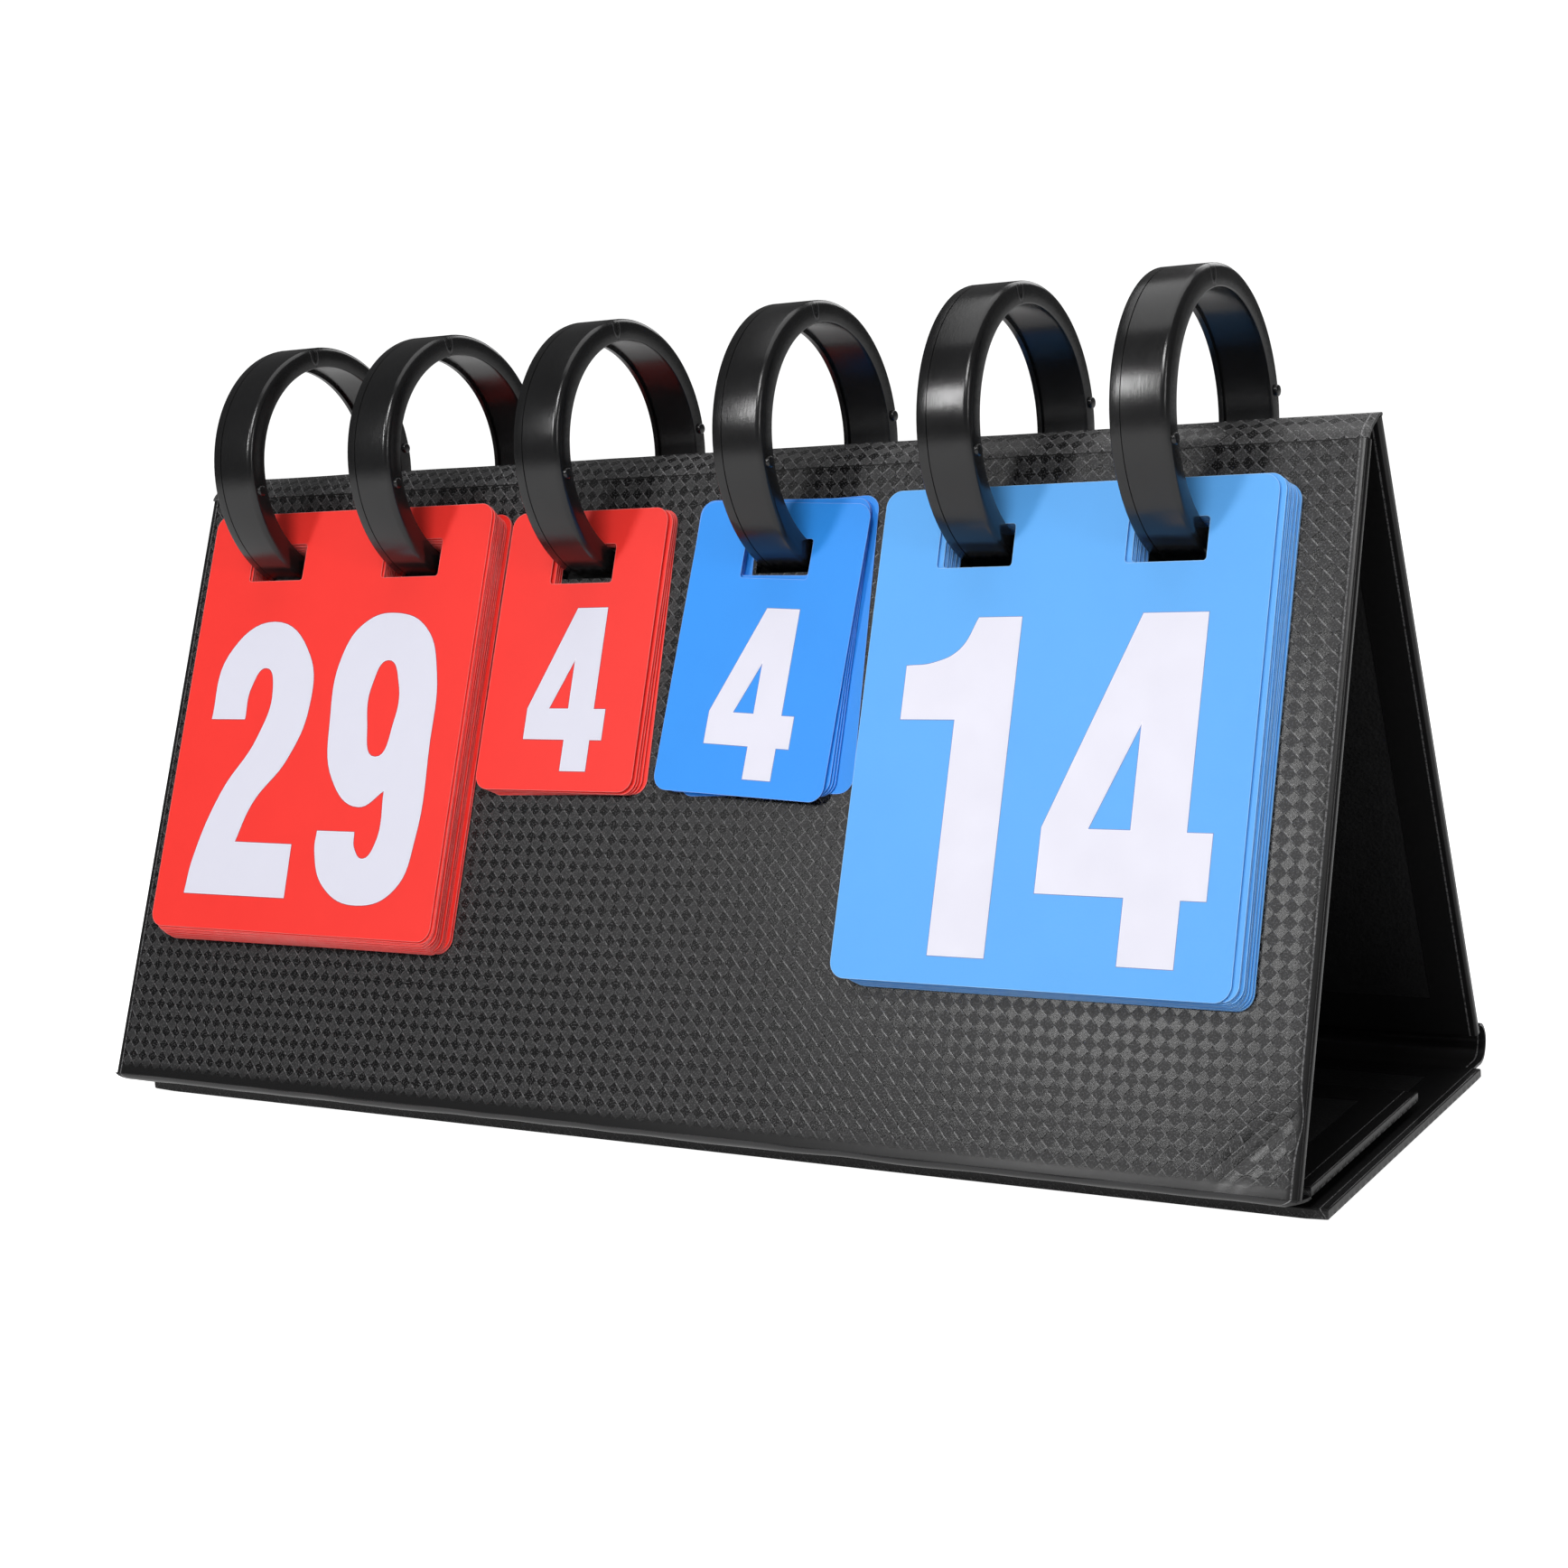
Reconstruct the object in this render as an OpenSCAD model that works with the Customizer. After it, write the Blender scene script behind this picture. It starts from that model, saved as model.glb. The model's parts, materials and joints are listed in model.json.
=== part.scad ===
// Tabletop flip scoreboard: a folding A-frame of leather-covered greyboard with number cards
// that hang on six snap-together plastic rings over its ridge.
// Origin: centre of the base board's underside. +X is the players' right, +Y goes to the back.

/* [Boards] */
// Width of the front and rear boards and of the flap
board_w = 390; // [375:1:450]
// Length of the front board along its slope
front_len = 187.6; // [170:0.2:215]
// Thickness of a finished board over its leather
board_t = 3; // [2.4:0.1:4]
// Thickness of the leather and of the inside lining
leather_t = 0.5; // [0.3:0.05:0.8]
// Width of the leather that is turned in round each board's inside edge
turn_in = 12; // [8:1:18]
// Radius of the wrapped edges
edge_r = 1.1; // [0.6:0.05:1.15]
// Lean of the front board from the vertical, in degrees
front_tilt = 22.6; // [18:0.1:27]
// Lean of the rear board from the vertical, in degrees
rear_tilt = 19.1; // [15:0.1:24]
// Width of the base board
base_w = 386; // [372:1:450]
// How far the base board sits to the right of the upright boards
base_shift = 6; // [0:0.5:10]
// Depth of the flap that keeps the front board's foot in place
flap_d = 80; // [50:1:86]

/* [Hinges] */
// Distance from a board's outer face to the ridge's turning axis
axis_in = 3.3; // [3.1:0.1:4.5]
// From the front board's top edge up to the turning axis, along the board
front_ridge_gap = 9.6; // [8:0.1:14]
// From the rear board's top edge up to the turning axis, along the board
rear_ridge_gap = 3.9; // [3:0.1:8]
// Thickness of the doubled leather at the hinges
strip_t = 0.8; // [0.5:0.05:1.2]
// Radius of the leather roll behind the base
heel_r = 5.5; // [4.5:0.1:7]
// Height of the rear board's foot above the middle of that roll
heel_rise = 3.7; // [3:0.1:4.5]
// From the base board's back edge to the rear board's foot
heel_gap = 13.9; // [11:0.1:18]
// From the front board's foot back to the front edges of base and flap
toe_gap = 8.2; // [7:0.1:12]
// Height of the front board's foot above the flap's underside
toe_rise = 2.2; // [1.8:0.1:4]
// Height of the leather hinges' lowest line above the table
strip_lift = 0.2; // [0.1:0.05:0.5]

/* [Fasteners] */
// Length of each hook and loop patch
patch_w = 45; // [20:1:80]
// Depth of each hook and loop patch
patch_d = 20; // [10:1:30]
// Thickness of one half of a patch
patch_t = 1.1; // [0.8:0.05:1.5]
// Distance of the patches from the middle of the board
patch_x = 120; // [60:1:150]
// From the flap's back edge to the patches
patch_inset = 8; // [4:1:15]

/* [Rings] */
// Outer radius of a ring
ring_r = 38.4; // [37.5:0.1:41]
// Thickness of a ring's band
ring_t = 6.3; // [4.6:0.1:7]
// Width of a ring's band
ring_w = 15.6; // [12:0.1:16.6]
// Distance from the middle to each inner ring
inner_ring_x = 33.9; // [30:0.1:36]
// Distance from the middle to each pair of outer rings
outer_ring_x = 124; // [119:0.1:130]
// How far the outer rings all sit to the right of the even places
outer_ring_shift = -3.5; // [-4:0.1:4]
// How far the two inner rings sit to the right of the even places
inner_ring_shift = -3.8; // [-5:0.1:5]
// Turn of a ring's joint forward from the top, in degrees
ring_turn = 6.5; // [-10:0.5:15]
// Depth of the hollow along the inside of a ring
ring_hollow = 0.9; // [0.4:0.1:1.4]
// Width of the rim on each side of that hollow
ring_rim = 1.6; // [1:0.1:3]
// Distance of the moulded line from a ring's left edge
line_inset = 1.2; // [0.8:0.1:2]
// Width and depth of the moulded line
line_w = 0.4; // [0.2:0.1:0.6]
// Radius of a ring's right outer edge
ring_edge_r = 1.5; // [0.5:0.1:2]
// Length of the tongue that snaps into the other half of a ring
tongue_len = 5; // [3:0.5:8]
// Width of that tongue
tongue_w = 8; // [5:0.5:10]
// Thickness of that tongue
tongue_t = 2.2; // [1.4:0.1:2.6]
// Clearance of a tongue in its socket
tongue_clear = 0.15; // [0.1:0.05:0.3]
// Radius of the moulded nub on a ring's side
nub_r = 1.6; // [1:0.1:2]
// Height of that nub
nub_h = 1; // [0.5:0.1:1.2]

/* [Board slots] */
// Clearance beside a ring in the boards' slots
slot_side = 2.2; // [1.6:0.1:3]
// Clearance above and below a ring in the boards' slots
slot_clear = 1.9; // [1.5:0.1:3]

/* [Cards] */
// Width of a points card
card_w = 112; // [104:1:118]
// Height of a points card
card_h = 133; // [120:1:140]
// Width of a games card
small_w = 56; // [44:1:58]
// Height of a games card
small_h = 84; // [70:1:100]
// Thickness of a card
card_t = 0.2; // [0.15:0.01:0.22]
// Corner radius of a card
card_r = 4.5; // [2:0.5:8]
// Distance from the middle of a points card to each of its slots
card_ring_x = 27.2; // [24:0.1:30]
// Width of a card's slot
card_slot_w = 22.2; // [20:0.1:26]
// Height of a card's slot
card_slot_h = 11.7; // [11:0.1:13]
// Corner radius of a card's slot
card_slot_r = 1; // [0.5:0.1:2]
// From a card's top edge to its slots
card_slot_drop = 10.4; // [8:0.1:12]
// Clearance between a ring and a slot's top edge
hang_clear = 0.5; // [0.4:0.05:1]
// Clearance between a ring and a slot's side
side_clear = 0.3; // [0.2:0.05:0.6]
// Air between the red points cards
red_air = 0.04; // [0.02:0.01:0.06]
// Air between the blue points cards
blue_air = 0.2; // [0.05:0.01:0.2]
// Air between the games cards
small_air = 0.4; // [0.1:0.05:0.6]
// Air under the outermost card of each stack
top_air = 0.3; // [0.25:0.05:0.5]

/* [Score] */
// Red points cards that hang in front
red_front = 30; // [6:1:30]
// Blue points cards that hang in front
blue_front = 15; // [4:1:16]
// Games cards that hang in front on each side
small_front = 5; // [3:1:6]
// Blue points cards that hang behind
blue_back = 16; // [3:1:16]
// Games cards that hang behind on each side
small_back = 3; // [1:1:4]

/* [Hidden] */
$fn = 64;
eps = 0.01;

leather = "#1d1d1f";
inside = "#141415";
greyboard = "#8d857a";
plastic = "#27272a";
red = "#ff4036";
blue = "#5fb0ff";
deep_blue = "#4b9cff";

// The side view, as [y, z] points. The ridge axis carries both boards and all six rings.
board_core_t = board_t - 2 * leather_t;
flap_z = board_t + 2 * patch_t;
heel_z = strip_lift + strip_t / 2 + heel_r;
front_foot_z = flap_z + toe_rise;
rear_foot_z = heel_z + heel_rise;
front_up = [sin(front_tilt), cos(front_tilt)];
front_out = [-cos(front_tilt), sin(front_tilt)];
rear_up = [-sin(rear_tilt), cos(rear_tilt)];
rear_out = [cos(rear_tilt), sin(rear_tilt)];
front_reach = front_len + front_ridge_gap;
ridge_z = front_foot_z + front_reach * front_up[1] - axis_in * front_out[1];
rear_reach = (ridge_z - rear_foot_z + axis_in * rear_out[1]) / rear_up[1];
rear_len = rear_reach - rear_ridge_gap;
front_run = axis_in * front_out[0] - front_reach * front_up[0];
rear_run = axis_in * rear_out[0] - rear_reach * rear_up[0];
ridge_y = -(front_run + rear_run + toe_gap - heel_gap) / 2;
front_foot = [ridge_y + front_run, front_foot_z];
rear_foot = [ridge_y + rear_run, rear_foot_z];
front_head = front_foot + front_len * front_up;
rear_head = rear_foot + rear_len * rear_up;
base_y = front_foot[0] + toe_gap;
base_d = rear_foot[0] - heel_gap - base_y;

// Rings and slots
ring_ri = ring_r - ring_t;
ring_mid = ring_r - ring_t / 2;
red_x = outer_ring_shift - outer_ring_x;
blue_x = outer_ring_shift + outer_ring_x;
red_games_x = inner_ring_shift - inner_ring_x;
blue_games_x = inner_ring_shift + inner_ring_x;
ring_places = [red_x - card_ring_x, red_x + card_ring_x, red_games_x,
    blue_games_x, blue_x - card_ring_x, blue_x + card_ring_x];
board_slot_w = ring_w + 2 * slot_side;
board_slot_h = ring_t + 2 * slot_clear;
side_slack = (card_slot_w - ring_w) / 2 - side_clear;

// Stacks
red_pitch = card_t + red_air;
blue_pitch = card_t + blue_air;
small_pitch = card_t + small_air;

// Distance below the ridge axis of a hanging card's slot middle, for a card plane at distance d
function hang(d) = sqrt(pow(ring_ri - hang_clear, 2) - d * d) + card_slot_h / 2;

function bezier(p, t) = pow(1 - t, 3) * p[0] + 3 * t * pow(1 - t, 2) * p[1]
    + 3 * t * t * (1 - t) * p[2] + pow(t, 3) * p[3];
function bezier_way(p, t) = let (v = 3 * pow(1 - t, 2) * (p[1] - p[0])
    + 6 * t * (1 - t) * (p[2] - p[1]) + 3 * t * t * (p[3] - p[2])) v / norm(v);

// Puts the upright boards' middle at its place beside the base board's middle
module aside() translate([-base_shift, 0, 0]) children();

// Local frames on a board's outer face: X across, Y up the board from its foot, Z outward
module on_front() aside() translate([0, front_foot[0], front_foot[1]])
    rotate([90 - front_tilt, 0, 0]) children();
module on_rear() aside() translate([0, rear_foot[0], rear_foot[1]])
    rotate([0, 0, 180]) rotate([90 - rear_tilt, 0, 0]) children();
module on_base() translate([0, base_y, 0]) mirror([0, 0, 1]) children();
module on_flap() aside() translate([0, front_foot[0] + toe_gap, flap_z])
    mirror([0, 0, 1]) children();

module rounded(w, l, r) {
    square([w - 2 * r, l], center = true);
    square([w, l - 2 * r], center = true);
    for (x = [-1, 1], y = [-1, 1])
        translate([x * (w / 2 - r), y * (l / 2 - r)]) circle(r);
}

// A slab with wrapped edges, from Z 0 down, Y from 0 to l
module wrapped_slab(w, l) {
    intersection() {
        translate([-w / 2, l / 2, -board_t / 2]) rotate([90, 0, 90])
            linear_extrude(w) rounded(l, board_t, edge_r);
        translate([0, l, -board_t / 2]) rotate([90, 0, 0])
            linear_extrude(l) rounded(w, board_t, edge_r);
    }
}

// The greyboard core inside the leather
module core(w, l, slots = [], slot_y = 0) {
    difference() {
        translate([-w / 2 + leather_t, leather_t, leather_t - board_t])
            cube([w - 2 * leather_t, l - 2 * leather_t, board_core_t]);
        ring_slots(slots, slot_y);
    }
}

// The leather: outer face, wrapped edges and the turned-in border of the inside
module cover(w, l, slots = [], slot_y = 0) {
    difference() {
        wrapped_slab(w, l);
        core(w, l);
        translate([-w / 2 + turn_in, turn_in, -board_t - eps])
            cube([w - 2 * turn_in, l - 2 * turn_in, leather_t + 2 * eps]);
        ring_slots(slots, slot_y);
    }
}

// The lining that fills the inside between the turned-in borders
module lining(w, l, slots = [], slot_y = 0) {
    difference() {
        translate([-w / 2 + turn_in, turn_in, -board_t])
            cube([w - 2 * turn_in, l - 2 * turn_in, leather_t]);
        ring_slots(slots, slot_y);
    }
}

module ring_slots(places, y) {
    for (x = places)
        translate([x - board_slot_w / 2, y - board_slot_h / 2, -2 * board_t])
            cube([board_slot_w, board_slot_h, 3 * board_t]);
}

front_slot_y = front_reach - ring_mid;
rear_slot_y = rear_reach - ring_mid;
rear_places = [for (x = ring_places) -x];

module base_board() on_base() color(greyboard) core(base_w, base_d);
module base_cover() on_base() color(leather) cover(base_w, base_d);
module base_lining() on_base() color(inside) lining(base_w, base_d);

module rear_board() on_rear() color(greyboard) core(board_w, rear_len, rear_places, rear_slot_y);
module rear_cover() on_rear() color(leather) cover(board_w, rear_len, rear_places, rear_slot_y);
module rear_lining() on_rear() color(inside) lining(board_w, rear_len, rear_places, rear_slot_y);

module front_board() on_front() color(greyboard)
    core(board_w, front_len, ring_places, front_slot_y);
module front_cover() on_front() color(leather)
    cover(board_w, front_len, ring_places, front_slot_y);
module front_lining() on_front() color(inside)
    lining(board_w, front_len, ring_places, front_slot_y);

module flap_board() on_flap() color(greyboard) core(board_w, flap_d);
module flap_cover() on_flap() color(leather) cover(board_w, flap_d);
module flap_lining() on_flap() color(inside) lining(board_w, flap_d);

// A leather hinge: a thick curve in the side view, drawn across the boards' width
module strip(curve, steps = 14) {
    half = strip_t / 2;
    path = [for (k = [0 : steps]) bezier(curve, k / steps)];
    way = [for (k = [0 : steps]) bezier_way(curve, k / steps)];
    left = [for (k = [0 : steps]) path[k] + half * [-way[k][1], way[k][0]]];
    right = [for (k = [steps : -1 : 0]) path[k] - half * [-way[k][1], way[k][0]]];
    aside() translate([-board_w / 2, 0, 0]) rotate([90, 0, 90])
        linear_extrude(board_w) polygon(concat(left, right));
}

// Leather over the ridge, from the front board's top edge to the rear board's
module ridge_strip() color(leather) {
    start = front_head - strip_t / 2 * front_out;
    end = rear_head - strip_t / 2 * rear_out;
    strip([start, start + 3 * front_up, end + 2 * rear_up, end]);
}

// Leather roll from the base board's back edge up to the rear board's foot
module heel_strip() color(leather) {
    heel_y = rear_foot[0] - 1;
    end_angle = rear_tilt + acos((heel_r - strip_t - 2.1) / heel_r);
    aside() translate([-board_w / 2, 0, 0]) rotate([90, 0, 90]) linear_extrude(board_w) {
        translate([base_y + base_d, strip_lift])
            square([heel_y - base_y - base_d + eps, strip_t]);
        translate([heel_y, heel_z]) difference() {
            intersection() {
                circle(heel_r + strip_t / 2);
                polygon([[0, 0], [0, -3 * heel_r], [3 * heel_r, -3 * heel_r],
                    [3 * heel_r, 0], 3 * heel_r * [cos(end_angle), sin(end_angle)]]);
            }
            circle(heel_r - strip_t / 2);
        }
    }
}

// Leather from the front board's foot, under it, to the flap's front edge
module toe_strip() color(leather) {
    start = front_foot - strip_t / 2 * front_out;
    end = [front_foot[0] + toe_gap, flap_z + strip_t / 2];
    strip([start, start - 2.6 * front_up, end - [4, 1.6], end]);
}

patch_y = front_foot[0] + toe_gap + flap_d - patch_inset - patch_d;

// Hook patches on the base board
module hook_patches() color("#0f0f10")
    for (x = [-patch_x, patch_x])
        translate([x - base_shift, patch_y + patch_d / 2, board_t])
            linear_extrude(patch_t) rounded(patch_w, patch_d, 3);

// Loop patches under the flap
module loop_patches() color("#19191a")
    for (x = [-patch_x, patch_x])
        translate([x - base_shift, patch_y + patch_d / 2, board_t + patch_t])
            linear_extrude(patch_t) rounded(patch_w, patch_d, 3);

// Cross-section of a ring's band: hollow inside, a moulded line and a rounded edge outside
module band() {
    difference() {
        translate([ring_ri, -ring_w / 2]) square([ring_t, ring_w]);
        translate([ring_ri - eps, -ring_w / 2 + ring_rim])
            square([ring_hollow + eps, ring_w - 2 * ring_rim]);
        translate([ring_r - line_w, -ring_w / 2 + line_inset]) square([line_w + eps, line_w]);
        translate([ring_r - ring_edge_r, ring_w / 2 - ring_edge_r]) difference() {
            square(ring_edge_r + eps);
            circle(ring_edge_r);
        }
    }
}

module tongue_band(clear) {
    tongue_mid = ring_ri + ring_hollow + (ring_t - ring_hollow) / 2;
    translate([tongue_mid - tongue_t / 2 - clear, -tongue_w / 2 - clear])
        square([tongue_t + 2 * clear, tongue_w + 2 * clear]);
}

// One half of a snap ring, from angle 0 to 180: a tongue at its start, a socket at its end
module half_ring() {
    tongue_angle = tongue_len / ring_mid * 180 / PI;
    socket_angle = (tongue_len + 2 * tongue_clear) / ring_mid * 180 / PI;
    difference() {
        rotate_extrude(angle = 180) band();
        rotate([0, 0, 180 - socket_angle])
            rotate_extrude(angle = socket_angle + 1) tongue_band(tongue_clear);
    }
    rotate([0, 0, -tongue_angle]) rotate_extrude(angle = tongue_angle + 2) tongue_band(0);
    translate([0, ring_mid, ring_w / 2 - ring_rim]) cylinder(r = nub_r, h = ring_rim + nub_h);
}

module ring_half(i, start) color(plastic)
    translate([ring_places[i - 1] - base_shift, ridge_y, ridge_z])
        rotate([90, 0, 90]) rotate([0, 0, start + ring_turn]) half_ring();

// A card, with the middle of its slots' line at the origin and its printed face up
module card(w, h, slots) {
    linear_extrude(card_t) difference() {
        translate([0, card_slot_h / 2 + card_slot_drop - h / 2]) rounded(w, h, card_r);
        for (x = slots) translate([x, 0]) rounded(card_slot_w, card_slot_h, card_slot_r);
    }
}
module points_card() card(card_w, card_h, [-card_ring_x, card_ring_x]);
module games_card() card(small_w, small_h, [0]);

// Hangs a card in front: out from the board, lifted, moved aside and turned
module hang_front(x, out, lift = 0, side = 0, turn = 0) on_front()
    translate([x + side, front_reach - hang(axis_in + out) + lift, out])
        rotate([0, 0, turn]) children();

// Hangs a card behind, where its printed face is towards the board
module hang_rear(x, out, lift = 0, side = 0, turn = 0) on_rear()
    translate([-x + side, rear_reach - hang(axis_in + out) + lift, out])
        rotate([0, 0, turn]) children();

// How the loose cards of the red stack lie: the five nearest the board far to the right
red_loose = 5;
function red_side(k, n) = k < red_loose ? side_slack
    : side_slack * (0.55 - 0.3 * (k - red_loose) / n + 0.06 * sin(131 * k));
function red_lift(k, n) = k < red_loose ? 0.9 + 0.1 * k : 0.25 + 1.1 * pow(k / n, 3);

module red_front_cards() color(red) {
    n = red_front - 1;
    for (k = [0 : n - 1])
        hang_front(red_x, k * red_pitch, red_lift(k, n), red_side(k, n),
            0.25 * sin(97 * k)) points_card();
}
red_top_out = (red_front - 1) * red_pitch + top_air;
module red_top_card() color(red)
    hang_front(red_x, red_top_out, 1.5, 0.12 * side_slack) points_card();
module red_back_card() color(red)
    hang_rear(red_x, top_air, 0.3, 0.2 * side_slack) points_card();

function blue_side(k, n) = side_slack * (0.95 - 0.8 * k / n + 0.05 * sin(113 * k));

module blue_front_cards() color(blue) {
    n = blue_front - 1;
    for (k = [0 : n - 1])
        hang_front(blue_x, k * blue_pitch, 0.2 + 0.3 * pow(k / n, 2), blue_side(k, n),
            0.2 * sin(151 * k)) points_card();
}
blue_top_out = (blue_front - 1) * blue_pitch + top_air;
module blue_top_card() color(blue)
    hang_front(blue_x, blue_top_out, 0, -0.3 * side_slack) points_card();

module blue_back_cards() color(blue) {
    n = blue_back - 1;
    for (k = [0 : n - 1])
        hang_rear(blue_x, k * blue_pitch, 0.3 + 0.2 * sin(83 * k),
            0.4 * side_slack * sin(61 * k), 0.2 * sin(127 * k)) points_card();
}
blue_back_out = (blue_back - 1) * blue_pitch + top_air;
module blue_back_card() color(blue)
    hang_rear(blue_x, blue_back_out, 0.3, 0.1 * side_slack) points_card();

small_top_out = (small_front - 1) * small_pitch + top_air;

// The last of the red games cards hangs a little askew
red_askew = 1.4;
module red_games_front_cards() color(red)
    for (k = [0 : small_front - 2])
        hang_front(red_games_x, k * small_pitch, 0.3, 0.4 * side_slack * (1 - k / small_front),
            k == 0 ? red_askew : 0.4 * sin(100 * k)) games_card();
module red_games_top_card() color(red)
    hang_front(red_games_x, small_top_out, 0.5, -0.23 * side_slack) games_card();
module red_games_back_cards() color(red)
    for (k = [0 : small_back - 1])
        hang_rear(red_games_x, k * small_pitch, 0.4, 0.2 * side_slack * sin(80 * k),
            0.5 * sin(140 * k)) games_card();

// The last of the blue games cards hangs askew, and the top one has slipped the other way
blue_askew = 2;
module blue_games_front_cards() color(deep_blue)
    for (k = [0 : small_front - 2])
        hang_front(blue_games_x, k * small_pitch, 1.6, k == 0 ? 0 : -0.75 * side_slack,
            k == 0 ? blue_askew : -0.5 * k) games_card();
module blue_games_top_card() color(deep_blue)
    hang_front(blue_games_x, small_top_out, 0.2, -0.58 * side_slack, -3) games_card();
module blue_games_back_cards() color(deep_blue)
    for (k = [0 : small_back - 1])
        hang_rear(blue_games_x, k * small_pitch, 0.4, 0.2 * side_slack * cos(80 * k),
            0.5 * sin(110 * k)) games_card();

base_board();
base_cover();
base_lining();
rear_board();
rear_cover();
rear_lining();
front_board();
front_cover();
front_lining();
flap_board();
flap_cover();
flap_lining();
ridge_strip();
heel_strip();
toe_strip();
hook_patches();
loop_patches();
ring_half(1, 90);  // ring_1_front_half
ring_half(1, -90);  // ring_1_rear_half
ring_half(2, 90);  // ring_2_front_half
ring_half(2, -90);  // ring_2_rear_half
ring_half(3, 90);  // ring_3_front_half
ring_half(3, -90);  // ring_3_rear_half
ring_half(4, 90);  // ring_4_front_half
ring_half(4, -90);  // ring_4_rear_half
ring_half(5, 90);  // ring_5_front_half
ring_half(5, -90);  // ring_5_rear_half
ring_half(6, 90);  // ring_6_front_half
ring_half(6, -90);  // ring_6_rear_half
red_top_card();
red_front_cards();
red_back_card();
blue_top_card();
blue_front_cards();
blue_back_cards();
blue_back_card();
red_games_top_card();
red_games_front_cards();
red_games_back_cards();
blue_games_top_card();
blue_games_front_cards();
blue_games_back_cards();
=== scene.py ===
import json
import math

import bmesh
import bpy
from mathutils import Matrix, Vector, noise


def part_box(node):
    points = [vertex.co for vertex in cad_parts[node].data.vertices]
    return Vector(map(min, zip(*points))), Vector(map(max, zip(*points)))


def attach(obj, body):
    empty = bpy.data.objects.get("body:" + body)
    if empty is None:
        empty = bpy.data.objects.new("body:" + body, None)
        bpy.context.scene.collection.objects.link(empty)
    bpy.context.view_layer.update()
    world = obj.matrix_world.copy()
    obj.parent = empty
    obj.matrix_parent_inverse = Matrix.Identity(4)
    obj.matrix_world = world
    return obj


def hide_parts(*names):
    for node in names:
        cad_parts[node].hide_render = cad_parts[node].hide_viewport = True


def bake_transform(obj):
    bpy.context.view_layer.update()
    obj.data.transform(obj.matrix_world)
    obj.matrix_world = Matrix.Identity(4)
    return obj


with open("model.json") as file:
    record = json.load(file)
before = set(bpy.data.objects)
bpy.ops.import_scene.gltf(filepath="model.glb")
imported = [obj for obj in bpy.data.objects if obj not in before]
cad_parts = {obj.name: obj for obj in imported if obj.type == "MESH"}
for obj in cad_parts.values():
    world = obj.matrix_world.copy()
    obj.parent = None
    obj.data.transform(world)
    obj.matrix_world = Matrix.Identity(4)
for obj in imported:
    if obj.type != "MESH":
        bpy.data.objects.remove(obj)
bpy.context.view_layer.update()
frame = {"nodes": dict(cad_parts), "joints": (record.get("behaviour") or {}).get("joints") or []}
MM = 0.001


# Greyboard cores. Each of the four boards is a sheet of grey bookbinder's board, 2 mm thick,
# that the leather and the lining hide on every side.
def place_node(tree, kind, *inputs, out=0, **settings):
    """Adds a shader node, sets or links its inputs in order, and returns one output."""
    made = tree.nodes.new("ShaderNode" + kind)
    for name, value in settings.items():
        setattr(made, name, value)
    for socket, value in zip(made.inputs, inputs):
        if isinstance(value, bpy.types.NodeSocket):
            tree.links.new(value, socket)
        elif value is not None:
            socket.default_value = value
    return made.outputs[out]


def math_node(tree, operation, a, b=0.0, c=0.0):
    return place_node(tree, "Math", a, b, c, operation=operation)


def mix_colour(tree, amount, a, b):
    """Blends two colours; each is a socket or (r, g, b)."""
    mixer = tree.nodes.new("ShaderNodeMix")
    mixer.data_type = "RGBA"
    for socket, value in ((mixer.inputs[0], amount), (mixer.inputs[6], a), (mixer.inputs[7], b)):
        if isinstance(value, bpy.types.NodeSocket):
            tree.links.new(value, socket)
        else:
            socket.default_value = (*value, 1.0) if isinstance(value, tuple) else value
    return mixer.outputs[2]


def new_finish(name, **shader_values):
    """A material with its Principled shader's plain values set. Returns it and its shader."""
    finish = bpy.data.materials.new(name)
    finish.use_nodes = True
    shader = finish.node_tree.nodes["Principled BSDF"]
    for socket, value in shader_values.items():
        shader.inputs[socket.replace("_", " ")].default_value = value
    return finish, shader


def feed(shader, **sockets):
    """Links sockets of the same tree into the shader's inputs."""
    for name, value in sockets.items():
        shader.id_data.links.new(value, shader.inputs[name.replace("_", " ")])


def bump(tree, height, distance, strength=1.0):
    """The normal of a height field whose full step is distance, in metres."""
    node = tree.nodes.new("ShaderNodeBump")
    node.inputs["Strength"].default_value = strength
    node.inputs["Distance"].default_value = distance
    tree.links.new(height, node.inputs["Height"])
    return node.outputs[0]


def new_group(name, inputs, outputs):
    """A shader node group: inputs are (name, kind, value) and outputs (name, kind)."""
    group = bpy.data.node_groups.new(name, "ShaderNodeTree")
    for label, kind, value in inputs:
        socket = group.interface.new_socket(label, in_out="INPUT", socket_type="NodeSocket" + kind)
        socket.default_value = value
    for label, kind in outputs:
        group.interface.new_socket(label, in_out="OUTPUT", socket_type="NodeSocket" + kind)
    given = group.nodes.new("NodeGroupInput").outputs
    return group, given, group.nodes.new("NodeGroupOutput").inputs


def use_group(tree, group, *inputs):
    """Places a node group, fills its inputs in order and returns all its outputs."""
    made = tree.nodes.new("ShaderNodeGroup")
    made.node_tree = group
    for socket, value in zip(made.inputs, inputs):
        if isinstance(value, bpy.types.NodeSocket):
            tree.links.new(value, socket)
        else:
            socket.default_value = value
    return made.outputs


def paint_node(names, finish):
    """Gives carried-over CAD nodes their finish."""
    for name in names:
        node = frame["nodes"][name]
        node.data.materials.clear()
        node.data.materials.append(finish)


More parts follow.
